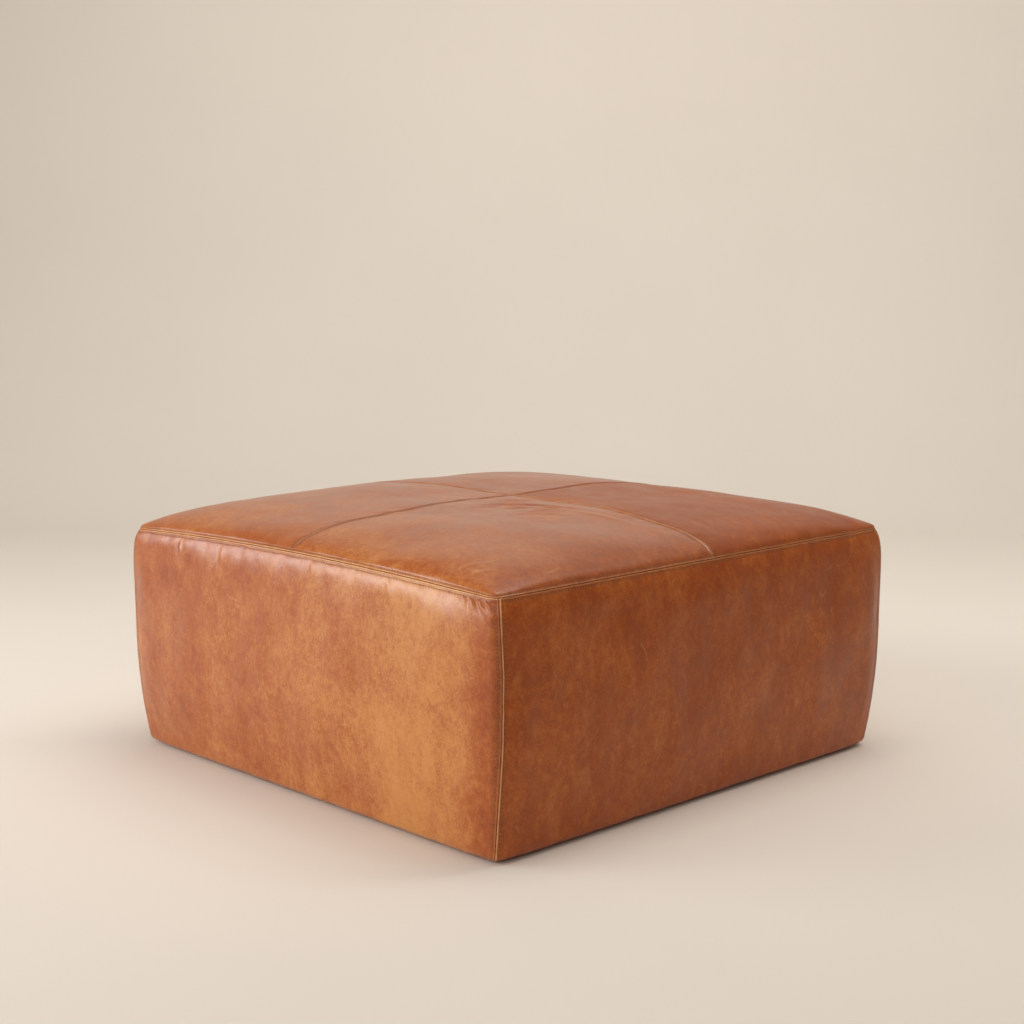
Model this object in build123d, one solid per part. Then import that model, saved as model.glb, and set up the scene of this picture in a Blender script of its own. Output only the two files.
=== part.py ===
from build123d import *
from math import cos, radians, sin
import os

os.makedirs("parts", exist_ok=True)

# A square upholstered leather pouf. Four top panels and four side panels of leather are sewn
# into a cover, pulled over a padded timber box and stapled under it.
# Millimetres. The origin is on the floor under the middle, +Z is up and -Y is the front.

# Outside of the leather
WIDTH = 914.0               # across the sides where they bulge most
HEIGHT = 432.0              # floor to the middle of the crown
LEATHER = 2.0               # hide thickness
SEAM_Z = 374.0              # seam round the top
SEAM_DRAW = 10.0            # how far the top seam pulls a side in from its bulge
BULGE_Z = 205.0             # height of the fullest part of a side
BASE_DRAW = 15.0            # how far a side is in from its bulge above the bottom edge
FLOOR_GAP = 4.0             # floor to the leather's underside
EDGE_ROUND = 13.0           # bottom edge, where the leather turns under
HEM = 45.0                  # width of leather stapled under the base

# Padding
CLEAR = 0.3                 # between layers that aren't glued
WADDING = 4.0
WADDING_BOTTOM_Z = 20.0
DECK_Z = 340.0              # top of the frame, under the webbing

# Timber box
FRAME_HALF = 428.0          # outer face of the side boards
BOARD = 3.0
RAIL = 22.0                 # rail, brace and corner plate thickness
RAIL_DEPTH = 70.0
BRACE_DEPTH = 45.0
POST = 45.0
CORNER_PLATE = 130.0        # legs of the triangular plates under the posts

# Deck
WEB_WIDTH = 70.0
WEB_THICK = 1.2
WEB_COUNT = 4               # strips each way
HESSIAN = 1.0

# Underside
CLOTH = 0.6                 # black cloth under the base
CLOTH_HALF = 418.0
GLIDE_RADIUS = 13.0
GLIDE_INSET = 58.0          # glide centre from the outer face of the frame
NAIL_RADIUS = 1.2
NAIL_LENGTH = 18.0

# Fasteners and thread
WIRE = 0.5                  # staple wire
STAPLE_CROWN = 10.0
STAPLE_LEG = 8.0
STAPLE_PITCH = 80.0
SCREW_RADIUS = 2.0
SCREW_HEAD_RADIUS = 4.0
SCREW_HEAD = 3.0
SCREW_LENGTH = 50.0
THREAD = 0.5                # how proud of the leather the thread stands
THREAD_WIDTH = 0.9
ROW_OFFSET = 5.2            # stitch row from its seam
CORNER_ROW = 8.0            # corner stitch rows from the seam's highest, most drawn in point

HALF = WIDTH / 2
TUCK_Z = FLOOR_GAP + EDGE_ROUND
FRAME_Z = FLOOR_GAP + LEATHER + CLEAR
RAIL_OUT = FRAME_HALF - BOARD
RAIL_IN = RAIL_OUT - RAIL
CLOTH_Z = FLOOR_GAP - CLOTH
SIDES = ("front", "right", "back", "left")
CORNERS = ("front_right", "back_right", "back_left", "front_left")
CROWN_STEPS = 9
SIDE_STEPS = 8
FAR = 2 * WIDTH


def block(x0, x1, y0, y1, z0, z1):
    """A box from its lowest to its highest corner."""
    middle = ((x0 + x1) / 2, (y0 + y1) / 2, (z0 + z1) / 2)
    return Pos(*middle) * Box(x1 - x0, y1 - y0, z1 - z0)


def turned(shape, quarter):
    """The shape turned about the middle by a number of quarter turns."""
    return Rot(0, 0, 90 * quarter) * shape


def side_half_width(z):
    """Half the pouf's width at a height: fullest at the bulge, drawn in to both edges."""
    if z >= BULGE_Z:
        return HALF - SEAM_DRAW * ((z - BULGE_Z) / (SEAM_Z - BULGE_Z)) ** 6
    return HALF - BASE_DRAW * ((BULGE_Z - z) / (BULGE_Z - TUCK_Z)) ** 2


def outline(inset):
    """Half of the pouf's cross-section, drawn in by a distance, with -Y outwards and Z up."""
    shoulder_z = SEAM_Z - inset
    shoulder = side_half_width(shoulder_z) - inset
    rise = HEIGHT - SEAM_Z
    crown = []
    for step in range(CROWN_STEPS + 1):
        angle = radians(90 * step / CROWN_STEPS)
        crown.append((0, -shoulder * sin(angle) ** (2 / 3), shoulder_z + rise * cos(angle)))
    crown[-1] = (0, -shoulder, shoulder_z)

    side = []
    for step in range(SIDE_STEPS + 1):
        z = shoulder_z + (TUCK_Z - shoulder_z) * step / SIDE_STEPS
        side.append((0, -side_half_width(z) + inset, z))

    turn_y = -side_half_width(TUCK_Z) + EDGE_ROUND
    turn = EDGE_ROUND - inset
    slant = turn * sin(radians(45))
    foot = (0, turn_y, TUCK_Z - turn)
    crown_edge = Spline(*crown, tangents=[(0, -1, 0), (0, 0, -1)])
    round_edge = ThreePointArc(side[-1], (0, turn_y - slant, TUCK_Z - slant), foot)
    base_edge = Polyline(foot, (0, 0, TUCK_Z - turn), crown[0])
    return make_face(crown_edge + Spline(*side) + round_edge + base_edge)


def band(y0, y1, z0, z1):
    """A rectangle in the plane of the cross-section, y counted outwards."""
    return make_face(Polyline((0, -y0, z0), (0, -y1, z0), (0, -y1, z1), (0, -y0, z1), (0, -y0, z0)))


def front_slice(section):
    """The section run along the front, mitred to meet the same slice of the next sides."""
    triangle = make_face(Polyline((0, 0), (-FAR, -FAR), (FAR, -FAR), (0, 0)))
    return extrude(section, amount=FAR, both=True, dir=(1, 0, 0)) & extrude(triangle, amount=FAR)


def right_half(shape):
    return shape & block(0, FAR, -FAR, FAR, 0, FAR)


def left_half(shape):
    return shape & block(-FAR, 0, -FAR, FAR, 0, FAR)


def all_round(piece):
    """The same slice on all four sides, joined at the mitres."""
    return piece.fuse(*[turned(piece, quarter) for quarter in (1, 2, 3)])


def leather_panels():
    """The eight hide panels: quarters of the crown, and mitred sides that turn under the base."""
    hollow = band(0, FRAME_HALF - HEM, 0, DECK_Z / 2)
    hide = outline(0) - outline(LEATHER) - hollow
    side_panel = front_slice(hide & band(0, FAR, 0, SEAM_Z))
    crown = front_slice(hide & band(0, FAR, SEAM_Z, FAR))
    top_panel = right_half(crown) + turned(left_half(crown), 1)
    panels = {}
    for quarter, side in enumerate(SIDES):
        panels["side_panel_" + side] = turned(side_panel, quarter)
    for quarter, corner in enumerate(CORNERS):
        panels["top_panel_" + corner] = turned(top_panel, quarter)
    return panels


def stitch_rows():
    """Sewing thread, as fine raised lines on each side of every seam."""
    skin = outline(-THREAD) - outline(0)
    half_thread = THREAD_WIDTH / 2

    perimeter = []
    for z in (SEAM_Z + ROW_OFFSET / 2, SEAM_Z - ROW_OFFSET):
        ring = front_slice(skin & band(0, FAR, z - half_thread, z + half_thread))
        perimeter.append(all_round(ring))

    cross = []
    reach = side_half_width(SEAM_Z) - 2 * ROW_OFFSET
    crown = front_slice(skin & band(2 * ROW_OFFSET, reach, SEAM_Z, FAR))
    for x in (-ROW_OFFSET, ROW_OFFSET):
        row = crown & block(x - half_thread, x + half_thread, -FAR, 0, 0, FAR)
        for quarter in range(4):
            cross.append(turned(row, quarter))

    corners = []
    row_x = side_half_width(TUCK_Z) - CORNER_ROW
    face = front_slice(skin & band(0, FAR, TUCK_Z, SEAM_Z - 2 * ROW_OFFSET))
    for x in (-row_x, row_x):
        row = face & block(x - half_thread, x + half_thread, -FAR, 0, 0, FAR)
        for quarter in range(4):
            corners.append(turned(row, quarter))
    return {
        "perimeter_stitching": Compound(perimeter),
        "cross_stitching": Compound(cross),
        "corner_stitching": Compound(corners),
    }


def padding():
    """Polyester wadding under the leather, over a foam slab and four foam side pads."""
    outer = LEATHER + CLEAR
    inner = outer + WADDING
    seam = SEAM_Z - inner
    slab_z = DECK_Z + 2 * WEB_THICK + HESSIAN + 3 * CLEAR
    wadding = outline(outer) - outline(inner)
    foam = outline(inner + CLEAR)
    wadding_top = all_round(front_slice(wadding & band(0, FAR, seam + CLEAR, FAR)))
    wadding_sides = all_round(front_slice(wadding & band(0, FAR, WADDING_BOTTOM_Z, seam)))
    pad = band(FRAME_HALF + CLEAR, FAR, WADDING_BOTTOM_Z, slab_z - CLEAR)
    foam_pad = front_slice(foam & pad)
    layers = {
        "wadding_top": wadding_top,
        "wadding_sides": wadding_sides,
        "foam_top_slab": all_round(front_slice(foam & band(0, FAR, slab_z, FAR))),
    }
    for quarter, side in enumerate(SIDES):
        layers["foam_pad_" + side] = turned(foam_pad, quarter)
    return layers


def deck():
    """Crossed webbing strips on the top rails, and the hessian between them and the foam."""
    pieces = {}
    lower = DECK_Z
    upper = DECK_Z + WEB_THICK + CLEAR
    pitch = 2 * RAIL_IN / WEB_COUNT
    for number in range(WEB_COUNT):
        middle = -RAIL_IN + pitch * (number + 0.5)
        edges = (middle - WEB_WIDTH / 2, middle + WEB_WIDTH / 2)
        pieces["webbing_across_%d" % (number + 1)] = block(
            -RAIL_OUT, RAIL_OUT, *edges, lower, lower + WEB_THICK)
        pieces["webbing_along_%d" % (number + 1)] = block(
            *edges, -RAIL_OUT, RAIL_OUT, upper, upper + WEB_THICK)
    hessian_z = upper + WEB_THICK + CLEAR
    pieces["deck_hessian"] = block(
        -RAIL_OUT, RAIL_OUT, -RAIL_OUT, RAIL_OUT, hessian_z, hessian_z + HESSIAN)
    return pieces


def timber():
    """Rails, posts, corner plates and thin boards of the box, and the brace across its base."""
    pieces = {}
    for quarter, side in enumerate(SIDES):
        long_side = quarter % 2 == 0
        rail_end = RAIL_OUT if long_side else RAIL_IN
        board_end = FRAME_HALF if long_side else RAIL_OUT
        base = block(-rail_end, rail_end, -RAIL_OUT, -RAIL_IN, FRAME_Z, FRAME_Z + RAIL_DEPTH)
        top = block(-rail_end, rail_end, -RAIL_OUT, -RAIL_IN, DECK_Z - RAIL_DEPTH, DECK_Z)
        board = block(-board_end, board_end, -FRAME_HALF, -RAIL_OUT, FRAME_Z, DECK_Z)
        pieces["base_rail_" + side] = turned(base, quarter)
        pieces["top_rail_" + side] = turned(top, quarter)
        pieces["side_board_" + side] = turned(board, quarter)
    for quarter, corner in enumerate(CORNERS):
        post = block(RAIL_IN - POST, RAIL_IN, -RAIL_IN, -RAIL_IN + POST, FRAME_Z + RAIL, DECK_Z)
        corner_point = (RAIL_IN, -RAIL_IN)
        triangle = Polyline(corner_point, (RAIL_IN - CORNER_PLATE, -RAIL_IN),
                            (RAIL_IN, -RAIL_IN + CORNER_PLATE), corner_point)
        plate = Pos(0, 0, FRAME_Z) * extrude(make_face(triangle), amount=RAIL)
        pieces["corner_post_" + corner] = turned(post, quarter)
        pieces["corner_plate_" + corner] = turned(plate, quarter)
    pieces["base_brace"] = block(-RAIL / 2, RAIL / 2, -RAIL_IN, RAIL_IN,
                                 FRAME_Z, FRAME_Z + BRACE_DEPTH)
    return pieces


def glide():
    """A nail-on glide at the origin: a domed disc on the floor and the nail above it."""
    disc = Cylinder(GLIDE_RADIUS, CLOTH_Z, align=(Align.CENTER, Align.CENTER, Align.MIN))
    disc = chamfer(disc.edges().group_by(Axis.Z)[0], CLOTH_Z / 3)
    nail = Cylinder(NAIL_RADIUS, NAIL_LENGTH, align=(Align.CENTER, Align.CENTER, Align.MIN))
    return disc + Pos(0, 0, CLOTH_Z) * nail


def underside():
    """The cloth stapled under the base, and a glide near each corner."""
    place = FRAME_HALF - GLIDE_INSET
    cloth = block(-CLOTH_HALF, CLOTH_HALF, -CLOTH_HALF, CLOTH_HALF, CLOTH_Z, FLOOR_GAP)
    pieces = {"base_cloth": cloth}
    for quarter, corner in enumerate(CORNERS):
        pieces["glide_" + corner] = turned(Pos(place, -place, 0) * glide(), quarter)
    return pieces


def staple():
    """A staple at the origin, crown along X at z = 0 and legs up."""
    leg_x = STAPLE_CROWN / 2 - WIRE / 2
    crown = block(-STAPLE_CROWN / 2, STAPLE_CROWN / 2, -WIRE / 2, WIRE / 2, 0, WIRE)
    for x in (-leg_x, leg_x):
        crown += block(x - WIRE / 2, x + WIRE / 2, -WIRE / 2, WIRE / 2, 0, STAPLE_LEG)
    return crown


def staple_rows(half, z, flip=False):
    """Staples along all four sides of a square, crowns at height z."""
    count = int(2 * half / STAPLE_PITCH)
    one = Rot(180, 0, 0) * staple() if flip else staple()
    rows = []
    for quarter in range(4):
        for number in range(count):
            x = STAPLE_PITCH * (number - (count - 1) / 2)
            rows.append(turned(Pos(x, -half, z) * one, quarter))
    return Compound(rows)


def frame_screws():
    """A countersunk screw through each rail end into the post behind it."""
    shank = Cylinder(SCREW_RADIUS, SCREW_LENGTH, align=(Align.CENTER, Align.CENTER, Align.MIN))
    head = Cone(SCREW_HEAD_RADIUS, SCREW_RADIUS, SCREW_HEAD,
                align=(Align.CENTER, Align.CENTER, Align.MIN))
    screw = Rot(-90, 0, 0) * (shank + head)
    into_post = RAIL_IN - POST / 2
    offsets = {0: -8.0, 1: 8.0}          # screws from the two sides of a corner pass each other
    screws = []
    for quarter in range(4):
        lift = offsets[quarter % 2]
        for z in (FRAME_Z + RAIL_DEPTH * 0.65 + lift, DECK_Z - RAIL_DEPTH / 2 + lift):
            for x in (-into_post, into_post):
                screws.append(turned(Pos(x, -RAIL_OUT, z) * screw, quarter))
    return Compound(screws)


def fasteners():
    """Staples of the hide, the base cloth and the webbing, and the screws of the box."""
    web_top = DECK_Z + 2 * WEB_THICK + CLEAR + WIRE / 2
    rail_middle = RAIL_OUT - RAIL / 2
    return {
        "leather_staples": staple_rows(rail_middle - WIRE, FLOOR_GAP),
        "base_cloth_staples": staple_rows(rail_middle - 2 * WIRE - 2, CLOTH_Z - WIRE),
        "webbing_staples": webbing_staples(web_top, rail_middle),
        "frame_screws": frame_screws(),
    }


def webbing_staples(z, rail_middle):
    """Two staples at each end of every webbing strip."""
    one = Rot(180, 0, 0) * staple()
    pitch = 2 * RAIL_IN / WEB_COUNT
    staples = []
    for quarter in range(4):
        for number in range(WEB_COUNT):
            middle = -RAIL_IN + pitch * (number + 0.5)
            for side in (-1, 1):
                x = middle + side * WEB_WIDTH / 4
                staples.append(turned(Pos(x, -rail_middle, z) * one, quarter))
    return Compound(staples)


def main():
    pieces = {}
    for group in (leather_panels, stitch_rows, padding, deck, timber, underside, fasteners):
        pieces.update(group())
    for node, shape in pieces.items():
        export_step(shape, "parts/" + node + ".step")
    print(len(pieces), "nodes")


main()
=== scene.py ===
from math import cos, pi, radians, sin

import bpy
import numpy as np
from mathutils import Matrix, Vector


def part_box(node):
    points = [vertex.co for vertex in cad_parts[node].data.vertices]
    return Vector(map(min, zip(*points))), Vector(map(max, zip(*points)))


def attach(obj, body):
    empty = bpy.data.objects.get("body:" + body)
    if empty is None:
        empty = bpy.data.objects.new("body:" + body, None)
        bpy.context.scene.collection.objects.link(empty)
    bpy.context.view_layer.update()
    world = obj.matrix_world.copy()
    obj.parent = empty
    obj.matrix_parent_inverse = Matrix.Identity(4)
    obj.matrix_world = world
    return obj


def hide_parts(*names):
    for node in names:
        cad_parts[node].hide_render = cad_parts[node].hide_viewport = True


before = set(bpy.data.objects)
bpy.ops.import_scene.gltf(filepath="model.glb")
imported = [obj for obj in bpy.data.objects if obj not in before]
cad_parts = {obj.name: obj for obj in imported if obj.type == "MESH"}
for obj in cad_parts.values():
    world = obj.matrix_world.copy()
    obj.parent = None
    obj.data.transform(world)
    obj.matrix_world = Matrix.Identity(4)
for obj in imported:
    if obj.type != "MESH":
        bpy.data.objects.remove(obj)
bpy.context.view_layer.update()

# The look of a square leather pouf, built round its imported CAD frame.
# Metres, in the frame's own axes: +Z up, -Y the front, the floor at z = 0.
# Every soft layer follows one upholstered form, made of a top surface and four side surfaces.

MM = 0.001
SIDES = ("front", "right", "back", "left")
CORNERS = ("front_right", "back_right", "back_left", "front_left")

# Sizes read from the frame
side_low, side_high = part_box("side_panel_front")
top_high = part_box("top_panel_front_right")[1]
HALF = side_high.x          # middle to the fullest part of a side
SHOULDER = top_high.x       # middle to the top seam
FLOOR_GAP = side_low.z      # floor to the leather's underside
SEAM_Z = side_high.z
HEIGHT = top_high.z
RISE = HEIGHT - SEAM_Z
OPENING = -side_high.y      # middle to the leather's edge under the base

# Shape of the sides: as in the CAD, but fuller just under the top seam
SEAM_DRAW = HALF - SHOULDER
SEAM_POWER = 9
BULGE_Z = 205 * MM
BASE_DRAW = 15 * MM
EDGE_ROUND = 13 * MM
TUCK_Z = FLOOR_GAP + EDGE_ROUND
LEATHER = 2.0 * MM
FLAT_HEM = HALF - BASE_DRAW - EDGE_ROUND - OPENING

# How the stuffed form differs from the plain one
BELLY = 6 * MM              # extra fullness in the middle of each side
CORNER_RADIUS = 16 * MM
SLOW_TURN = 160 * MM        # stretches over which a side curves in to its corner seam
QUICK_TURN = 45 * MM
SOFTEN_SEAM = 2.5 * MM      # how far it curves in, at the top seam and at the belly
SOFTEN_BELLY = 10.5 * MM
CORNER_LIFTS = (-1.2 * MM, -6.6 * MM, 2.3 * MM, 0.0)     # of the top seam, where each side starts
SIDE_BOWS = (11.0 * MM, 0.6 * MM, 6 * MM, 4 * MM)        # how much it bows up between its corners
CORNER_STRAY = (4 * MM, 9 * MM, 8 * MM, -3 * MM)         # of the front right seam, to the right,
STRAY_DEPTHS = (0, 110 * MM, 200 * MM, 380 * MM)         # at these depths below the top
FULLNESS = 10 * MM          # extra height of the crown towards its back left corner
CROSSING = 7 * MM           # how far the cross seams' crossing lies back and right
CROWN_BLEND = 3.5           # how sharply the crown's two curves meet on the diagonals
CORNER_DIP = 0.55           # share of the crown's height that is missing at its corners
VALLEY = 1.5 * MM           # dip of the crown along the cross seams
VALLEY_WIDTH = 30 * MM

# Seams and stitches
STITCH = 5.7 * MM           # pitch
ROW = 5.3 * MM              # stitch row from its seam
GROOVE = 0.6 * MM
RIDGE = 0.9 * MM
RIDGE_PLACE = 1.5 * MM      # from the seam
THREAD_RADIUS = 0.42 * MM
THREAD_TAPER = (0.55, 0.95, 1.0, 0.95, 0.55)             # shares of it along a stitch, end to end
SEAM_GAP = 0.05 * MM        # from a panel's edge to the middle of its seam

STAPLE_PULL = 82 * MM       # between the dips that the staples pull in the bottom edge
STAPLE_DIP = 0.6 * MM
GATHER = 1.9 * MM           # height of the little gathers beside the near corner
GATHER_PITCH = 11.5 * MM

# Layers under the leather, as depths below its plain surface
WADDING_TOP = 4.7 * MM
WADDING_UNDER = 7.0 * MM
FOAM_TOP = 7.4 * MM

WADDING_LOW = 20 * MM       # height of the side wadding's lower edge
WOVEN_RISE = 0.63 * MM      # how far a webbing strip climbs over or dips under another
BASE_SAG = 1.4 * MM         # dip of the base cloth between its edges

# Mesh of a leather panel
BORDER = 13 * MM            # fine strip along each edge
BORDER_CELLS = 15
FINE = STITCH / 4
INNER_STEP = 2              # interior cells, in fine steps
LINING_STEP = 8             # cells of the unseen side, in fine steps

# Mesh of the layers
POLE = 6 * MM               # reach of the smallest ring on the top
TOP_RINGS = 34


# ---------------- form

def ramp(x, low, high):
    """0 below low, 1 above high, smooth between."""
    s = np.clip((x - low) / (high - low), 0, 1)
    return s * s * (3 - 2 * s)


def bell(x, middle, width):
    return np.exp(-(((x - middle) / width) ** 2))


def make_side_profile():
    """Down a side from the top seam, round the bottom edge and in along the hem:
    distance from the seam, half-width and height."""
    z = np.linspace(SEAM_Z, TUCK_Z, 500)
    upper = HALF - SEAM_DRAW * ((z - BULGE_Z) / (SEAM_Z - BULGE_Z)) ** SEAM_POWER
    lower = HALF - BASE_DRAW * ((BULGE_Z - z) / (BULGE_Z - TUCK_Z)) ** 2
    half = np.where(z > BULGE_Z, upper, lower)
    turn = np.linspace(0, pi / 2, 40)[1:]
    round_half = half[-1] - EDGE_ROUND * (1 - np.cos(turn))
    round_z = TUCK_Z - EDGE_ROUND * np.sin(turn)
    hem = np.linspace(round_half[-1], OPENING, 20)[1:]
    half = np.concatenate([half, round_half, hem])
    z = np.concatenate([z, round_z, np.full(len(hem), FLOOR_GAP)])
    steps = np.hypot(np.diff(half), np.diff(z))
    return np.concatenate([[0], np.cumsum(steps)]), half, z


def make_crown_profile():
    """From the middle of the crown out to the top seam: distance, and share of the half-width."""
    angle = pi / 2 * np.linspace(0, 1, 3000) ** 1.5
    share = np.sin(angle) ** (2 / 3)
    steps = np.hypot(np.diff(share * SHOULDER), np.diff(RISE * np.cos(angle)))
    return np.concatenate([[0], np.cumsum(steps)]), share


SIDE_DISTANCE, SIDE_HALF, SIDE_Z = make_side_profile()
SIDE_DEPTH = SIDE_DISTANCE[-1]
TUCK = SIDE_DEPTH - FLAT_HEM         # distance down to where the leather lies flat underneath
CROWN_DISTANCE, CROWN_SHARE = make_crown_profile()
CROWN = CROWN_DISTANCE[-1]
SIDE_REACH = SHOULDER - CORNER_RADIUS * (1 - pi / 4)     # middle of a side to its corner seam


def plan_line(t, half, soften):
    """A side's line seen from above, t from -1 to 1 between its corner seams:
    distances along the side and out from the middle of the pouf."""
    straight = half - CORNER_RADIUS
    reach = straight + CORNER_RADIUS * pi / 4
    s = np.abs(t) * reach
    angle = np.clip((s - straight) / CORNER_RADIUS, 0, pi / 4)
    slow = np.clip((s - straight + SLOW_TURN) / SLOW_TURN, 0, 1)
    quick = np.clip((s - straight + QUICK_TURN) / QUICK_TURN, 0, 1)
    out = half - CORNER_RADIUS * (1 - np.cos(angle)) - soften * (0.4 * slow**2 + 0.6 * quick**2)
    along = np.minimum(s, straight) + CORNER_RADIUS * np.sin(angle)
    corner = half - CORNER_RADIUS * (1 - cos(pi / 4))
    return np.sign(t) * along * (corner - soften) / corner, out


def seam_lift(side, t):
    """How far the top seam lies above its plain height, t from -1 to 1 along a side."""
    start = np.take(CORNER_LIFTS, side)
    end = np.take(CORNER_LIFTS, np.add(side, 1) % 4)
    return start + (end - start) * (t + 1) / 2 + np.take(SIDE_BOWS, side) * (1 - t * t)


def seam_wander(side, a, d):
    """How far the nearest corner seam strays round the corner, by the depth d below the top:
    the front right one is pulled to the right, most of all under the top."""
    if side not in (0, 1):
        return 0 * a
    near = a if side == 0 else -a
    return np.interp(d, STRAY_DEPTHS, CORNER_STRAY) * ramp(near, SIDE_REACH - 110 * MM, SIDE_REACH)


def waves(x, y, seed, count=5):
    """A smooth random field of about unit height, from waves of about unit length."""
    random = np.random.default_rng(seed)
    total = 0
    for _ in range(count):
        direction = random.uniform(0, 2 * pi)
        pace = random.uniform(0.6, 1.5) * 2 * pi
        start = random.uniform(0, 2 * pi)
        total = total + np.sin(pace * (x * cos(direction) + y * sin(direction)) + start)
    return total / count**0.5


def side_base(side, a, d):
    """The plain side surface: a is the distance along the top seam from the middle of the side,
    d the distance down from the seam."""
    run = a + seam_wander(side, a, d) + SIDE_REACH
    side = (side + np.floor(run / (2 * SIDE_REACH)).astype(int)) % 4
    t = run % (2 * SIDE_REACH) / SIDE_REACH - 1
    half = np.interp(d, SIDE_DISTANCE, SIDE_HALF)
    z = np.interp(d, SIDE_DISTANCE, SIDE_Z)
    belly = np.sin(pi * np.clip((z - FLOOR_GAP) / (SEAM_Z - FLOOR_GAP), 0, 1))
    soften = SOFTEN_SEAM + (SOFTEN_BELLY - SOFTEN_SEAM) * belly
    along, out = plan_line(t, half + BELLY * belly, soften)
    z = z + seam_lift(side, t) * ramp(z, 0.5 * SEAM_Z, SEAM_Z)
    turn = side * pi / 2
    x = along * np.cos(turn) + out * np.sin(turn)
    y = along * np.sin(turn) - out * np.cos(turn)
    return np.stack([x, y, z], axis=-1)


def blend_low(first, second):
    """The lower of two heights from 0 to 1, with a soft corner where they are equal."""
    first = np.maximum(first, 1e-3)
    second = np.maximum(second, 1e-3)
    return (first**-CROWN_BLEND + second**-CROWN_BLEND - 1) ** (-1 / CROWN_BLEND)


def crown_height(share):
    return np.sqrt(np.clip(1 - share**3, 0, 1))


def crown_shares(p, q):
    """Shares of the half-width that the distances p and q from the cross seams come to."""
    return (np.interp(np.abs(p), CROWN_DISTANCE, CROWN_SHARE),
            np.interp(np.abs(q), CROWN_DISTANCE, CROWN_SHARE))


def top_base(p, q):
    """The plain top surface: p and q are the distances along it from the two cross seams."""
    stray = CROSSING * (1 - (p / CROWN) ** 2) * (1 - (q / CROWN) ** 2)
    p = p + stray
    q = q + stray
    u, v = crown_shares(p, q)
    along_u, out_u = plan_line(u, SHOULDER, SOFTEN_SEAM)
    along_v, out_v = plan_line(v, SHOULDER, SOFTEN_SEAM)
    corner = plan_line(1.0, SHOULDER, SOFTEN_SEAM)[1]
    x = np.sign(p) * (v * along_u + u * out_v - u * v * corner)
    y = np.sign(q) * (u * along_v + v * out_u - u * v * corner)
    share_x = np.sign(p) * u
    share_y = np.sign(q) * v
    front_back = np.where(q < 0, seam_lift(0, share_x), seam_lift(2, -share_x))
    right_left = np.where(p > 0, seam_lift(1, share_y), seam_lift(3, -share_y))
    corner_lift = np.where(q < 0, seam_lift(0, np.sign(p)), seam_lift(2, -np.sign(p)))
    lift = v * front_back + u * right_left - u * v * corner_lift
    height = blend_low(crown_height(u), crown_height(v)) * (1 - CORNER_DIP * (u * v) ** 6)
    full = FULLNESS * (1 - u**8) * (1 - v**8) * ramp(y - x, -0.2 * HALF, 0.8 * HALF)
    return np.stack([x, y, SEAM_Z + lift + (RISE - lift) * height + full], axis=-1)


def top_seam_distance(p, q):
    """Distance from the seam round the top, measured up over the crown's shoulder."""
    u, v = crown_shares(p, q)
    height = blend_low(crown_height(u), crown_height(v))
    share = np.clip(1 - height**2, 0, 1) ** (1 / 3)
    return CROWN - np.interp(share, CROWN_SHARE, CROWN_DISTANCE)


# ---------------- relief

def seam_relief(d, along, seed, ridge_share=1.0):
    """Height of the leather near a topstitched seam, d from it: the edge folds down into the
    seam, a ridge lies over the fold, and the stitches pull in a dimpled trench."""
    count = 400                      # more than the stitches of the longest seam
    pulls = np.random.default_rng(seed).uniform(0.5, 1.3, count)
    beat = 0.5 + 0.5 * np.cos(2 * pi * along / STITCH)
    strength = np.interp(along / STITCH, np.arange(count) - count // 2, pulls)
    fold = -GROOVE * bell(d, 0, 0.5 * MM)
    slope = 0.2 * (1 - ramp(d, 2 * MM, 5 * MM))
    ridge = RIDGE * ridge_share * (bell(d, RIDGE_PLACE, 1.1 * MM) + slope)
    trench = -0.35 * MM * bell(d, ROW, 1.0 * MM) * (0.4 + 0.6 * beat * strength)
    pucker = -0.30 * MM * strength * beat * ramp(d, 4 * MM, 6 * MM) * np.exp(-(d - ROW) / (6 * MM))
    pull = 0.4 * MM * waves(along / (45 * MM), d / (120 * MM), seed + 1) * bell(d, 14 * MM, 12 * MM)
    return np.where(d < 60 * MM, fold + ridge + trench + pucker + pull, 0.0)


def wrinkle(x, y, cx, cy, angle, length, width, height):
    """One soft crease: a ridge with a shallow dip beside it, pointed at both ends."""
    dx = x - cx
    dy = y - cy
    along = dx * cos(angle) + dy * sin(angle)
    across = -dx * sin(angle) + dy * cos(angle) + 0.12 * along**2 / length
    reach = np.clip(1 - (2 * along / length) ** 2, 0, 1) ** 1.5
    return height * reach * (bell(across, 0, width) - 0.7 * bell(across, 1.9 * width, 1.2 * width))


# Creases of the crown: middle x and y, direction in degrees, length, half-width and height, mm
CROWN_CREASES = (
    (62, -52, 50, 90, 6, 1.7),
    (104, -78, 38, 150, 7, 2.5),
    (128, -108, 52, 80, 6, 2.0),
    (160, -66, 31, 120, 6, 2.3),
    (176, -92, 58, 60, 5, 1.7),
    (92, -132, 46, 110, 7, 1.5),
    (196, -124, 40, 130, 7, 1.6),
    (-210, -300, -25, 60, 5, 0.9),
    (250, -60, 12, 190, 8, 1.2),
)


def top_body(p, q):
    """The soft unevenness of the top, as height above the plain surface."""
    inland = ramp(top_seam_distance(p, q), 2 * MM, 30 * MM)
    valleys = np.exp(-np.abs(p) / VALLEY_WIDTH) + np.exp(-np.abs(q) / VALLEY_WIDTH)
    uneven = 1.0 * MM * waves(p / 0.24, q / 0.24, 41) + 0.18 * MM * waves(p / 0.07, q / 0.07, 42)
    return (uneven - VALLEY * valleys) * inland


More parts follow.
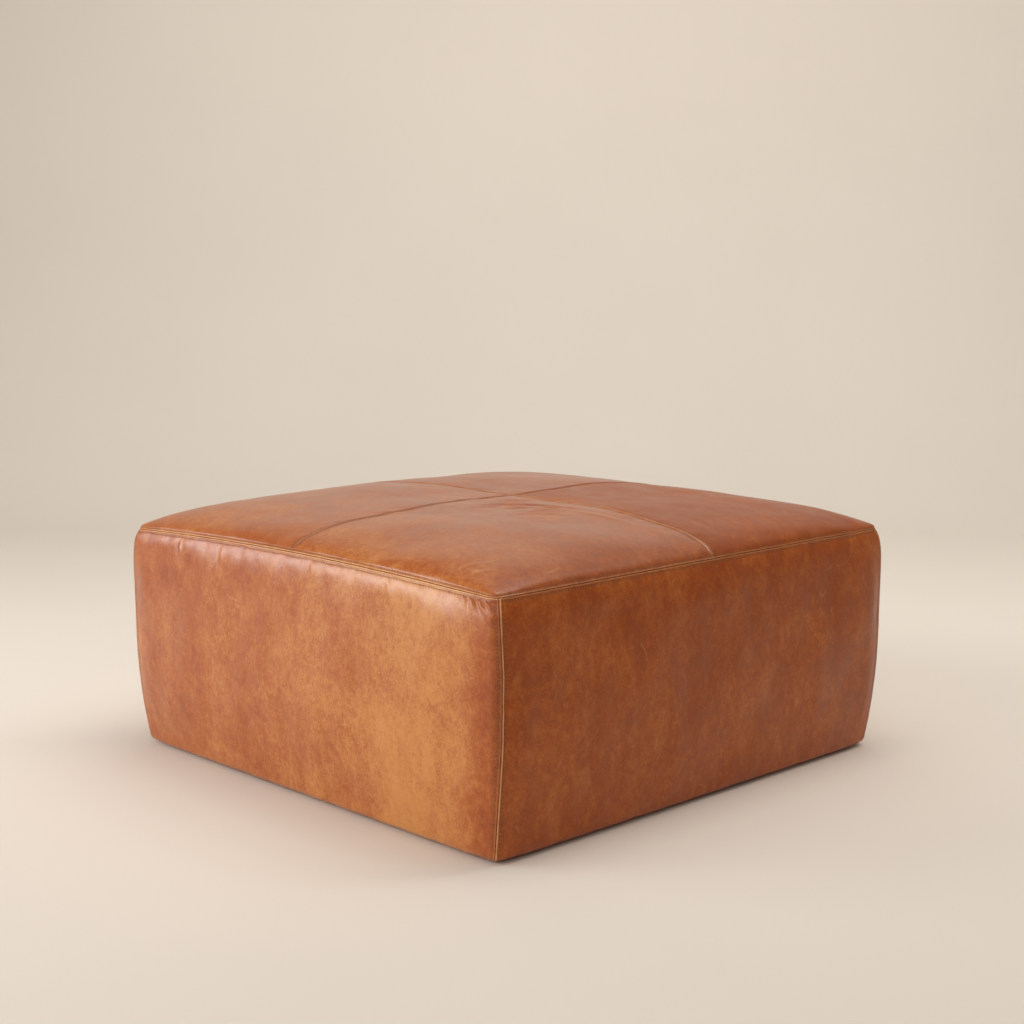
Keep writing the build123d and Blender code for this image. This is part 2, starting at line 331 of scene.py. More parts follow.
def top_relief(p, q):
    """Everything on the leather top that the plain surface lacks, as height above it."""
    d = top_seam_distance(p, q)
    along = np.where(np.abs(p) > np.abs(q), q, p)
    relief = top_body(p, q) + seam_relief(d, along, 11)
    edge = ramp(d, 3 * MM, 9 * MM)
    for across, run, seed in ((p, q, 21), (q, p, 31)):
        relief = relief + seam_relief(np.abs(across), run, seed) * edge
    for cx, cy, angle, length, width, height in CROWN_CREASES:
        relief = relief + wrinkle(p, q, cx * MM, cy * MM, radians(angle),
                                  length * MM, width * MM, height * MM)
    return relief


# Creases of the front: distances along from the middle and down from the seam, then as above
FRONT_CREASES = (
    (-292, 24, 70, 34, 3.5, 1.6),
    (-172, 26, 84, 40, 4, 0.9),
    (235, 22, 80, 36, 4, 0.8),
    (60, 20, 95, 30, 5, 0.7),
)


def near_corner_gathers(corner, d):
    """The fan of little gathers under the top seam beside a corner."""
    lean = 0.8 - 0.8 * ramp(corner, 5 * MM, 60 * MM)
    spread = bell(corner, 33 * MM, 22 * MM) * bell(d, 11 * MM, 12 * MM) * ramp(d, ROW, 9 * MM)
    return GATHER * np.cos(2 * pi * (corner + lean * d) / GATHER_PITCH) * spread


def side_body(side, a, d):
    """The soft unevenness of a side, as height above the plain surface."""
    soft = ramp(SIDE_REACH - np.abs(a), 6 * MM, 40 * MM)
    soft = soft * ramp(d, 10 * MM, 60 * MM) * ramp(TUCK - d, 10 * MM, 40 * MM)
    return soft * (1.6 * MM * waves(a / 0.24, d / 0.19, 71 + side)
                   + 0.4 * MM * waves(a / 0.07, d / 0.09, 81 + side))


def side_relief(side, a, d):
    """Everything on a leather side that the plain surface lacks, as height above it."""
    corner = SIDE_REACH - np.abs(a)
    above = ramp(TUCK - d, -2 * MM, 8 * MM)
    relief = side_body(side, a, d) + seam_relief(d, a, 51 + side) * ramp(corner, 0.5 * MM, 2 * MM)
    ridge_share = np.where(a < 0, 1.0, 0.35)
    corner_seam = seam_relief(corner, d, 61 + side, ridge_share) * ramp(d, 1 * MM, 4 * MM)
    relief = relief + corner_seam * above
    pulls = (0.5 + 0.5 * np.cos(2 * pi * a / STAPLE_PULL)) ** 6
    relief = relief - STAPLE_DIP * pulls * bell(d, TUCK - 8 * MM, 14 * MM) * above
    if side == 0:
        for cx, cy, angle, length, width, height in FRONT_CREASES:
            relief = relief + wrinkle(a, d, cx * MM, cy * MM, radians(angle),
                                      length * MM, width * MM, height * MM)
        relief = relief + near_corner_gathers(SIDE_REACH - a, d)
    return relief


# ---------------- meshes

def normals(surface, a, b):
    """Outward unit normals of a surface with a and b as its own distances."""
    step = 0.3 * MM
    da = surface(a + step, b) - surface(a - step, b)
    db = surface(a, b + step) - surface(a, b - step)
    n = np.cross(da, db)
    return n / np.maximum(np.linalg.norm(n, axis=-1, keepdims=True), 1e-12)


def raised(surface, a, b, height):
    return surface(a, b) + normals(surface, a, b) * np.asarray(height)[..., None]


def side_surface(side):
    """The side as a surface whose normals point outwards: down is counted as a negative b."""
    return lambda a, b: side_base(side, a, -b)


def side_height(side):
    """The side's relief, with b counted in the same way."""
    return lambda a, b: side_relief(side, a, -b)


def grade(low, high, cell):
    """Places from low to high: close together in a border at each end, then even."""
    steps = np.linspace(0.35, 1.45, BORDER_CELLS)
    border = np.concatenate([[0], np.cumsum(steps)])
    border = border / border[-1] * BORDER
    count = int(round((high - low - 2 * BORDER) / cell / LINING_STEP)) * LINING_STEP
    middle = np.linspace(low + BORDER, high - BORDER, count + 1)[1:-1]
    places = np.concatenate([low + border, middle, high - border[::-1]])
    return places, len(border) - 1


class Patch:
    """A rectangular mesh with lines at uneven places, whose cells may be coarser inside."""

    def __init__(self, lines_a, lines_b):
        self.shape = (len(lines_a), len(lines_b))
        self.lines = (lines_a, lines_b)
        self.used = np.zeros(self.shape, bool)
        self.blocks = []

    def add_block(self, rows, columns):
        rows = np.asarray(rows)
        columns = np.asarray(columns)
        self.used[np.ix_(rows, columns)] = True
        self.blocks.append((rows, columns))

    def faces(self):
        """Each cell as a polygon that takes in every used place round its edge."""
        used = self.used
        cells = []
        for rows, columns in self.blocks:
            for r0, r1 in zip(rows[:-1], rows[1:]):
                for c0, c1 in zip(columns[:-1], columns[1:]):
                    if r1 - r0 == 1 and c1 - c0 == 1:
                        cells.append(((r0, c0), (r1, c0), (r1, c1), (r0, c1)))
                        continue
                    walk = [(r, c0) for r in range(r0, r1) if used[r, c0]]
                    walk += [(r1, c) for c in range(c0, c1) if used[r1, c]]
                    walk += [(r, c1) for r in range(r1, r0, -1) if used[r, c1]]
                    walk += [(r0, c) for c in range(c1, c0, -1) if used[r0, c]]
                    cells.append(tuple(walk))
        return cells

    def rim(self):
        """The places round the outside, in order."""
        last_r = self.shape[0] - 1
        last_c = self.shape[1] - 1
        walk = [(r, 0) for r in range(last_r)]
        walk += [(last_r, c) for c in range(last_c)]
        walk += [(r, last_c) for r in range(last_r, 0, -1)]
        walk += [(0, c) for c in range(last_c, 0, -1)]
        return [place for place in walk if self.used[place]]


def outer_patch(lines_a, border_a, lines_b, border_b, step):
    """Fine strips along the edges of a patch and coarser cells inside them."""
    patch = Patch(lines_a, lines_b)
    last_a = len(lines_a) - 1
    last_b = len(lines_b) - 1
    start_a = np.arange(border_a + 1)
    start_b = np.arange(border_b + 1)
    ends_a = (start_a, np.arange(last_a - border_a, last_a + 1))
    ends_b = (start_b, np.arange(last_b - border_b, last_b + 1))
    run_a = np.arange(border_a, last_a - border_a + 1)
    run_b = np.arange(border_b, last_b - border_b + 1)
    for end_a in ends_a:
        patch.add_block(end_a, run_b)
        for end_b in ends_b:
            patch.add_block(end_a, end_b)
    for end_b in ends_b:
        patch.add_block(run_a, end_b)
    patch.add_block(run_a[::step], run_b[::step])
    return patch


def lining_patch(lines_a, border_a, lines_b, border_b):
    """The unseen side of the same patch: as coarse as can be, but with the same rim."""
    patch = Patch(lines_a, lines_b)
    last_a = len(lines_a) - 1
    last_b = len(lines_b) - 1
    rows = [0, *range(border_a, last_a - border_a + 1, LINING_STEP), last_a]
    columns = [0, *range(border_b, last_b - border_b + 1, LINING_STEP), last_b]
    patch.add_block(rows, columns)
    patch.used[[0, -1], :] = True
    patch.used[:, [0, -1]] = True
    return patch


def closed_mesh(name, outer, outer_points, lining, lining_points):
    """A closed mesh from a patch and its lining, joined round their rim."""
    index = -np.ones(outer.shape, int)
    index[outer.used] = np.arange(outer.used.sum())
    other = -np.ones(lining.shape, int)
    other[lining.used] = np.arange(lining.used.sum()) + outer.used.sum()
    polygons = [[index[place] for place in cell] for cell in outer.faces()]
    polygons += [[other[place] for place in cell[::-1]] for cell in lining.faces()]
    rim = outer.rim()
    for here, after in zip(rim, rim[1:] + rim[:1]):
        polygons.append([index[after], index[here], other[here], other[after]])
    return mesh_object(name, np.concatenate([outer_points, lining_points]), polygons)


def mesh_object(name, points, polygons):
    mesh = bpy.data.meshes.new(name + "_look")
    mesh.from_pydata(points.tolist(), [], polygons)
    mesh.validate()
    mesh.update()
    mesh.shade_smooth()
    made = bpy.data.objects.new(name + "_look", mesh)
    bpy.context.scene.collection.objects.link(made)
    return made


def places_of(patch):
    """The distances a and b of a patch's used places."""
    rows, columns = np.nonzero(patch.used)
    return patch.lines[0][rows], patch.lines[1][columns]


def place(made, slot):
    """The piece stands for the node it is named after: that node's CAD shape is hidden and the
    piece hangs from the root. slot is not used.
    """
    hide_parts(made.name.removesuffix("_look"))
    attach(made, "root")


def paint(made, values):
    """Named per-point shares that the leather's material reads."""
    for name, share in values.items():
        layer = made.data.attributes.new(name, "FLOAT", "POINT")
        layer.data.foreach_set("value", share.astype(np.float32))


def seam_wear_and_light(*seams):
    """Shares from 0 to 1: worn ridges beside the seams with a painted highlight on them, and grime
    with painted shade in the grooves and needle holes. Each seam gives the distance from it, the
    distance along it and how strong its ridge's worn look and painted highlight are."""
    rub = 0
    dirt = 0
    for d, along, share in seams:
        holes = 0.5 + 0.5 * np.cos(2 * pi * along / STITCH)
        # A pale band on each ridge: partly worn leather, partly a painted highlight.
        rub = np.maximum(rub, share * bell(d, RIDGE_PLACE, 0.85 * MM))
        # Dark in the groove and needle holes: partly grime, partly painted shade in these recesses.
        dirt = np.maximum(dirt, 0.15 * bell(d, 0, 0.4 * MM))
        dirt = np.maximum(dirt, (0.15 + 0.75 * holes**3) * bell(d, ROW, 0.8 * MM))
    return {"rub": rub, "dirt": dirt}


def top_wear_and_light(p, q):
    along = np.where(np.abs(p) > np.abs(q), q, p)
    # The top seam's ridge gets its strongest painted highlight along the front.
    rub_and_highlight_share = np.where((q < 0) & (np.abs(q) > np.abs(p)), 1.0, 0.40)
    # Of the cross seams, the one at q = 0 gets a fair painted highlight and the one at p = 0 a
    # faint one.
    shares = seam_wear_and_light((top_seam_distance(p, q), along, rub_and_highlight_share),
                       (np.abs(p), q, 0.15), (np.abs(q), p, 0.6))
    # Painted shade along the cross seam at p = 0.
    shares["dirt"] = np.maximum(shares["dirt"], 0.45 * bell(p, 0, 3 * MM))
    return shares


def side_wear_and_light(side):
    """The same shares on a side, as a function of the distances a and b."""
    # The top seam's ridge gets its strongest painted highlight on the front, and each corner seam
    # on the ridge to its right, seen from outside.
    top_rub_and_highlight = 1.0 if side == 0 else 0.40
    return lambda a, b: seam_wear_and_light(
        (-b, a, top_rub_and_highlight), (SIDE_REACH - np.abs(a), b, np.where(a < 0, 1.0, 0.2)))


def hide_light_and_shade(name, a, b):
    """Painted light and shade on the hides: a painted highlight on the front hide a hand's width
    from its right corner, painted shade right at that corner and towards its left end, painted
    light towards its lower edge, and painted light along the front edge of the top's front hides,
    fading towards the back right."""
    if name == "side_panel_front":
        corner = SIDE_REACH - a
        # Painted shade at the right corner and towards the left end.
        edge = 0.55 * (1 - ramp(corner, 5 * MM, 75 * MM)) + 0.22 * ramp(corner, 450 * MM, 850 * MM)
        return 0.50 * bell(corner, 155 * MM, 115 * MM) + 0.15 * ramp(-b, 250 * MM, 380 * MM) - edge
    if name in ("top_panel_front_right", "top_panel_front_left"):
        # Painted light along the front edge of the top's front hides, fading towards the back
        # right.
        return 0.42 * ramp(-b, 150 * MM, 420 * MM) * (1 - ramp(a + b, -70 * MM, 210 * MM))
    return np.zeros(len(a))


def leather_panel(name, surface, relief, wear_and_light, range_a, range_b):
    """A hide panel: the relieved outer face, a plain lining face a leather's thickness inside."""
    lines_a, border_a = grade(*range_a, FINE)
    lines_b, border_b = grade(*range_b, FINE)
    outer = outer_patch(lines_a, border_a, lines_b, border_b, INNER_STEP)
    lining = lining_patch(lines_a, border_a, lines_b, border_b)
    a, b = places_of(outer)
    face = raised(surface, a, b, relief(a, b))
    la, lb = places_of(lining)
    back = raised(surface, la, lb, relief(la, lb) - LEATHER)
    made = closed_mesh(name, outer, face, lining, back)
    # Shares of worn seams with painted highlight and shade on them.
    shares = wear_and_light(a, b)
    # The tone holds each hide's own tone and, on some hides, painted light and shade.
    shares["tone"] = PANEL_TONES_AND_LIGHT[name] + hide_light_and_shade(name, a, b)
    none = np.zeros(len(la))
    paint(made, {key: np.concatenate([share, none]) for key, share in shares.items()})
    place(made, "leather")
    return made


def leather_panels():
    panels = []
    span = CROWN - 2 * SEAM_GAP
    for corner in CORNERS:
        low_p = SEAM_GAP if "right" in corner else -CROWN + SEAM_GAP
        low_q = SEAM_GAP if "back" in corner else -CROWN + SEAM_GAP
        panels.append(leather_panel(
            "top_panel_" + corner, top_base, top_relief, top_wear_and_light,
            (low_p, low_p + span), (low_q, low_q + span)))
    for side, name in enumerate(SIDES):
        panels.append(leather_panel(
            "side_panel_" + name, side_surface(side), side_height(side), side_wear_and_light(side),
            (-SIDE_REACH + SEAM_GAP, SIDE_REACH - SEAM_GAP), (-SIDE_DEPTH, -SEAM_GAP)))
    return panels


# ---------------- stitches

def stitch_mesh(name, rows):
    """Single stitches along rows. Each row gives a surface, its relief, and the distances a and b
    of its places, with one line of places for each stitch."""
    rings = len(THREAD_TAPER)
    ring_sides = 6
    points = []
    polygons = []
    base = 0
    for surface, relief, a, b in rows:
        lift = THREAD_RADIUS * (1.1 - 2.4 * np.abs(np.linspace(-1, 1, rings)) ** 3)
        centre = raised(surface, a, b, relief(a, b) + lift)
        up = normals(surface, a, b)
        along = np.gradient(centre, axis=1)
        along /= np.linalg.norm(along, axis=-1, keepdims=True)
        across = np.cross(along, up)
        across /= np.linalg.norm(across, axis=-1, keepdims=True)
        up = np.cross(across, along)
        radius = THREAD_RADIUS * np.array(THREAD_TAPER)
        lines = []
        for k in range(ring_sides):
            angle = 2 * pi * k / ring_sides
            offset = across * cos(angle) * 1.1 + up * sin(angle)
            lines.append(centre + offset * radius[None, :, None])
        points.append(np.stack(lines, axis=2).reshape(-1, 3))
        for stitch in range(len(a)):
            start = base + stitch * rings * ring_sides
            for ring in range(rings - 1):
                for k in range(ring_sides):
                    here = start + ring * ring_sides + k
                    beside = start + ring * ring_sides + (k + 1) % ring_sides
                    polygons.append([here, here + ring_sides, beside + ring_sides, beside])
            polygons.append([start + k for k in range(ring_sides)])
            end = start + (rings - 1) * ring_sides
            polygons.append([end + k for k in reversed(range(ring_sides))])
        base += len(points[-1])
    made = mesh_object(name, np.concatenate(points), polygons)
    place(made, "thread")
    return made


def stitch_places(low, high):
    """Along a row from low to high: a line of places for each stitch."""
    first = int(np.ceil(low / STITCH))
    last = int(np.floor(high / STITCH))
    middles = STITCH * (np.arange(first, last) + 0.5)
    half = 0.37 * STITCH
    return middles[:, None] + np.linspace(-half, half, len(THREAD_TAPER))[None, :]


def top_row_places(along, d):
    """The top's distances (p, q) for places along its front edge, d above the top seam."""
    share = np.interp(CROWN - d, CROWN_DISTANCE, CROWN_SHARE)
    height = crown_height(share)
    u = np.abs(along) / SIDE_REACH
    beside = crown_height(u)
    out = (height**-CROWN_BLEND - beside**-CROWN_BLEND + 1) ** (-1 / CROWN_BLEND)
    v = (1 - out**2) ** (1 / 3)
    p = np.sign(along) * np.interp(u, CROWN_SHARE, CROWN_DISTANCE)
    return p, np.interp(v, CROWN_SHARE, CROWN_DISTANCE)


def stitches():
    perimeter = []
    corners = []
    for side in range(4):
        surface = side_surface(side)
        relief = side_height(side)
        a = stitch_places(-SIDE_REACH + ROW + MM, SIDE_REACH - ROW - MM)
        perimeter.append((surface, relief, a, np.full(a.shape, -ROW)))
        for end in (-1, 1):
            b = stitch_places(-TUCK - 12 * MM, -ROW - 4 * MM)
            edge = np.full(b.shape, end * (SIDE_REACH - ROW))
            corners.append((surface, relief, edge, b))
    a = stitch_places(-SIDE_REACH + 5 * MM, SIDE_REACH - 5 * MM)
    p, q = top_row_places(a, ROW)
    for run_p, run_q in ((p, -q), (p, q), (q, p), (-q, p)):
        perimeter.append((top_base, top_relief, run_p, run_q))
    cross = []
    for start, end in ((-CROWN + 9 * MM, -9 * MM), (9 * MM, CROWN - 9 * MM)):
        run = stitch_places(start, end)
        for offset in (-ROW, ROW):
            beside = np.full(run.shape, offset)
            cross.append((top_base, top_relief, run, beside))
            cross.append((top_base, top_relief, beside, run))
    return [
        stitch_mesh("perimeter_stitching", perimeter),
        stitch_mesh("corner_stitching", corners),
        stitch_mesh("cross_stitching", cross),
    ]


# ---------------- layers under the leather

RING_SIDE = 56                       # points of a ring on each side of the pouf


def ring_line():
    """Places from -1 up to 1 along one side of a ring, closer together near the corners."""
    return np.sin(np.linspace(-pi / 2, pi / 2, RING_SIDE + 1)[:-1])


def top_ring(reach, inset):
    """A square ring on the top, its sides reach from the middle, inset below the surface."""
    t = ring_line() * reach
    far = np.full(RING_SIDE, reach)
    p = np.concatenate([t, far, -t, -far])
    q = np.concatenate([-far, t, far, -t])
    return raised(top_base, p, q, top_body(p, q) - inset)


def side_ring(depth, inset):
    """A ring round the sides, depth down from the seam, inset below the surface."""
    a = ring_line() * SIDE_REACH
    d = np.full(RING_SIDE, depth)
    sides = [raised(side_surface(side), a, -d, side_body(side, a, d) - inset) for side in range(4)]
    return np.concatenate(sides)


def lofted(name, rings, ends):
    """A closed mesh through rings of as many points: its ends are drawn to a pole, capped flat,
    or joined to each other in a loop."""
    count = len(rings[0])
    points = [np.concatenate(rings)]
    polygons = []
    rows = len(rings) if ends == "loop" else len(rings) - 1
    for row in range(rows):
        here = row * count
        above = (row + 1) % len(rings) * count
        for k in range(count):
            after = (k + 1) % count
            polygons.append([here + k, here + after, above + after, above + k])
    last = (len(rings) - 1) * count
    if ends == "pole":
        points.append(np.array([rings[0].mean(axis=0), rings[-1].mean(axis=0)]))
        pole = len(rings) * count
        for k in range(count):
            after = (k + 1) % count
            polygons.append([pole, after, k])
            polygons.append([pole + 1, last + k, last + after])
    if ends == "cap":
        polygons.append(list(range(count))[::-1])
        polygons.append([last + k for k in range(count)])
    return mesh_object(name, np.concatenate(points), polygons)


def wadding():
    """The fluffy layer under the leather: one piece over the crown, one round the sides."""
    reaches = np.linspace(POLE, CROWN - 7 * MM, TOP_RINGS)
    over = [top_ring(reach, WADDING_TOP) for reach in reaches]
    under = [top_ring(reach, WADDING_UNDER) for reach in reaches[::-1]]
    top = lofted("wadding_top", under[::-1] + over[::-1], "pole")
    depths = np.linspace(4 * MM, SIDE_DISTANCE[np.argmax(SIDE_Z < WADDING_LOW)], 26)
    outside = [side_ring(depth, WADDING_TOP) for depth in depths]
    inside = [side_ring(depth, WADDING_UNDER) for depth in depths[::-1]]
    sides = lofted("wadding_sides", outside[::-1] + inside[::-1], "loop")
    for piece in (top, sides):
        place(piece, "wadding")
    return [top, sides]


def foam_slab():
    """The seat's slab of foam, over the deck."""
    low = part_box("foam_top_slab")[0].z
    depths = SIDE_DISTANCE[np.searchsorted(-SIDE_Z, [-SEAM_Z + 6 * MM, -low])]
    reaches = np.linspace(POLE, CROWN - 10 * MM, TOP_RINGS)
    rings = [top_ring(reach, FOAM_TOP) for reach in reaches]
    skirt = [side_ring(depth, FOAM_TOP) for depth in np.linspace(*depths, 4)]
    skirt[-1][:, 2] = low
    floor = [skirt[-1] * np.array([share, share, 1]) for share in (0.8, 0.5, 0.2)]
    return lofted("foam_top_slab", floor[::-1] + skirt[::-1] + rings[::-1], "pole")


def foam_pad(side):
    """The pad of foam outside a side board: flat on the board, full under the wadding."""
    low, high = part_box("foam_pad_front")
    board = -high.y
    depths = np.interp(-np.linspace(low.z, high.z, 24), -SIDE_Z, SIDE_DISTANCE)
    turn = side * pi / 2
    outwards = np.array([sin(turn), -cos(turn), 0])
    sideways = np.array([cos(turn), sin(turn), 0])
    stations = []
    for a in np.sin(np.linspace(pi / 2, -pi / 2, 60)) * SIDE_REACH:
        along = np.full(len(depths), a)
        relief = side_body(side, along, depths) - FOAM_TOP
        outer = raised(side_surface(side), along, -depths, relief)
        outer[0, 2] = low.z
        outer[-1, 2] = high.z
        run = outer @ sideways * board / (outer @ outwards)
        inner = np.outer(run, sideways) + board * outwards
        inner[:, 2] = outer[:, 2]
        stations.append(np.concatenate([outer, inner[::-1]]))
    return lofted("foam_pad_" + SIDES[side], stations, "cap")


def foam():
    made = [foam_slab()] + [foam_pad(side) for side in range(4)]
    for piece in made:
        place(piece, "foam")
    return made


def thin_sheet(name, top, thickness):
    """A closed flat sheet from a grid of points on its upper face."""
    rows, columns = top.shape[:2]
    patch = Patch(range(rows), range(columns))
    patch.add_block(range(rows), range(columns))
    upper = top.reshape(-1, 3)
    return closed_mesh(name, patch, upper, patch, upper - np.array([0, 0, thickness]))


def webbing():
    """Strips of webbing, woven over and under each other between the top rails."""
    names = {way: [f"webbing_{way}_{k}" for k in (1, 2, 3, 4)] for way in ("across", "along")}
    boxes = {name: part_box(name) for name in names["across"] + names["along"]}
    middles = [(boxes[name][0].y + boxes[name][1].y) / 2 for name in names["across"]]
    low, high = boxes["webbing_across_1"]
    width = high.y - low.y
    reach = high.x
    thickness = high.z - low.z
    level = (high.z + boxes["webbing_along_1"][1].z) / 2
    run = np.linspace(-reach, reach, 121)
    span = np.linspace(-width / 2, width / 2, 13)
    made = []
    for way, over in (("across", 1), ("along", -1)):
        for number, name in enumerate(names[way]):
            knots = [-reach]
            rises = [-over]
            for crossing, middle in enumerate(middles):
                knots += [middle - width / 2, middle + width / 2]
                rises += [over * (-1) ** (number + crossing)] * 2
            knots.append(reach)
            rises.append(-over)
            rise = np.interp(run, knots, rises) * WOVEN_RISE
            along, across = np.meshgrid(run, span + middles[number], indexing="ij")
            height = np.repeat((level + rise)[:, None], len(span), axis=1)
            grid = np.stack([along, across, height], axis=-1)
            if way == "along":
                grid = np.stack([-across, along, height], axis=-1)
            piece = thin_sheet(name, grid, thickness)
            place(piece, "webbing")
            made.append(piece)
    return made


def stretched_square(name, slot, sag):
    """A square cloth, stapled round its edge, that sags a little between its edges."""
    low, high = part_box(name)
    line = np.linspace(low.x, high.x, 85)
    x, y = np.meshgrid(line, line, indexing="ij")
    edge = ramp(np.minimum(high.x - np.abs(x), high.y - np.abs(y)), 12 * MM, 90 * MM)
    tight = 0.6 + 0.4 * waves(x / 0.3, y / 0.3, 7)
    z = high.z - sag * edge * np.clip(tight, 0, 1.2)
    piece = thin_sheet(name, np.stack([x, y, z], axis=-1), high.z - low.z)
    place(piece, slot)
    return piece


# ---------------- materials

class Nodes:
    """A material's node tree, with short ways to add what the materials here use."""

    def __init__(self, name):
        self.material = bpy.data.materials.new(name)
        self.material.use_nodes = True
        self.tree = self.material.node_tree
        self.shader = self.tree.nodes["Principled BSDF"]
        coordinates = self.tree.nodes.new("ShaderNodeTexCoord")
        self.place = coordinates.outputs["Object"]

    def give(self, socket, value):
        """Link another node's output to a socket, or set a number or a colour on it."""
        if isinstance(value, bpy.types.NodeSocket):
            self.tree.links.new(value, socket)
        elif isinstance(value, tuple):
            socket.default_value = (*value, 1)
        else:
            socket.default_value = value

    def add(self, kind, inputs, **settings):
        node = self.tree.nodes.new(kind)
        for key, value in settings.items():
            setattr(node, key, value)
        for key, value in inputs.items():
            self.give(node.inputs[key], value)
        return node

    def stretched(self, scale, turn=(0, 0, 0), shift=(0, 0, 0)):
        mapping = self.add("ShaderNodeMapping", {"Vector": self.place})
        mapping.inputs["Scale"].default_value = scale
        mapping.inputs["Rotation"].default_value = [radians(v) for v in turn]
        mapping.inputs["Location"].default_value = shift
        return mapping.outputs[0]

    def noise(self, scale, detail=3.0, rough=0.55, place=None, distortion=0.0):
        node = self.add("ShaderNodeTexNoise", {
            "Vector": place or self.place, "Scale": scale, "Detail": detail,
            "Roughness": rough, "Distortion": distortion})
        return node.outputs["Fac"]

    def cells(self, scale):
        node = self.add("ShaderNodeTexVoronoi", {"Vector": self.place, "Scale": scale})
        return node.outputs["Distance"]

    def share(self, value, low, high, to_low=0.0, to_high=1.0):
        """value from low to high, turned into a share from to_low to to_high."""
        node = self.add("ShaderNodeMapRange", {
            "Value": value, "From Min": low, "From Max": high,
            "To Min": to_low, "To Max": to_high}, interpolation_type="SMOOTHSTEP")
        return node.outputs[0]

    def math(self, operation, first, second):
        return self.add("ShaderNodeMath", {0: first, 1: second}, operation=operation).outputs[0]

    def mix(self, fac, first, second):
        """first where fac is 0, second where it is 1."""
        inputs = {0: fac, 6: first, 7: second}   # the node's sockets for colours
        return self.add("ShaderNodeMix", inputs, data_type="RGBA").outputs[2]

    def attribute(self, name):
        return self.add("ShaderNodeAttribute", {}, attribute_name=name).outputs["Fac"]

    def bump(self, height, distance, strength=1.0, below=None):
        inputs = {"Height": height, "Distance": distance, "Strength": strength}
        if below is not None:
            inputs["Normal"] = below
        return self.add("ShaderNodeBump", inputs).outputs[0]

    def finish(self, **sockets):
        """Set the shader's own sockets, named with _ for each space."""
        for key, value in sockets.items():
            self.give(self.shader.inputs[key.replace("_", " ")], value)
        return self.material


TAN = (0.375, 0.078, 0.007)
TAN_LIGHT = (0.590, 0.235, 0.056)
TAN_DARK = (0.240, 0.040, 0.004)
# Colour of worn leather, also used for painted highlights on the seam ridges.
TAN_RUBBED_AND_HIGHLIT = (0.820, 0.480, 0.230)
# Colour of grime, also used for painted shade in the seam grooves, needle holes and along one cross
# seam.
TAN_DIRT_AND_SHADE = (0.100, 0.024, 0.006)
GLOSS_TINT = (1.0, 0.82, 0.66)       # of the shine seen straight on; at a grazing angle it is white
# Partly painted light and shade: the lit front hide is drawn paler, the right side and the top's
# back hides darker as in shade.
PANEL_TONES_AND_LIGHT = {                      # how light each panel is drawn: its hide's own tone, with painted light and shade
    "side_panel_front": 0.42, "side_panel_right": -0.04, "side_panel_back": 0.20,
    "side_panel_left": 0.35, "top_panel_front_right": -0.10, "top_panel_back_right": -0.30,
    "top_panel_back_left": -0.24, "top_panel_front_left": -0.12,
}


def scratch_lines(n, scale, width, seed):
    """Thin curved strokes: level lines of a smooth noise, broken up by another."""
    field = n.noise(scale, 1, 0.5, n.stretched((1, 1, 1), (0, 0, 0), (seed, 2 * seed, 0)), 0.8)
    level = n.math("ABSOLUTE", n.math("SUBTRACT", field, 0.5), 0)
    strokes = n.noise(3.2 * scale, 2, 0.5, n.stretched((1, 1, 1), (0, 0, 0), (seed, 1, 2)))
    return n.math("MULTIPLY", n.share(level, 0, width, 1, 0), n.share(strokes, 0.585, 0.69))


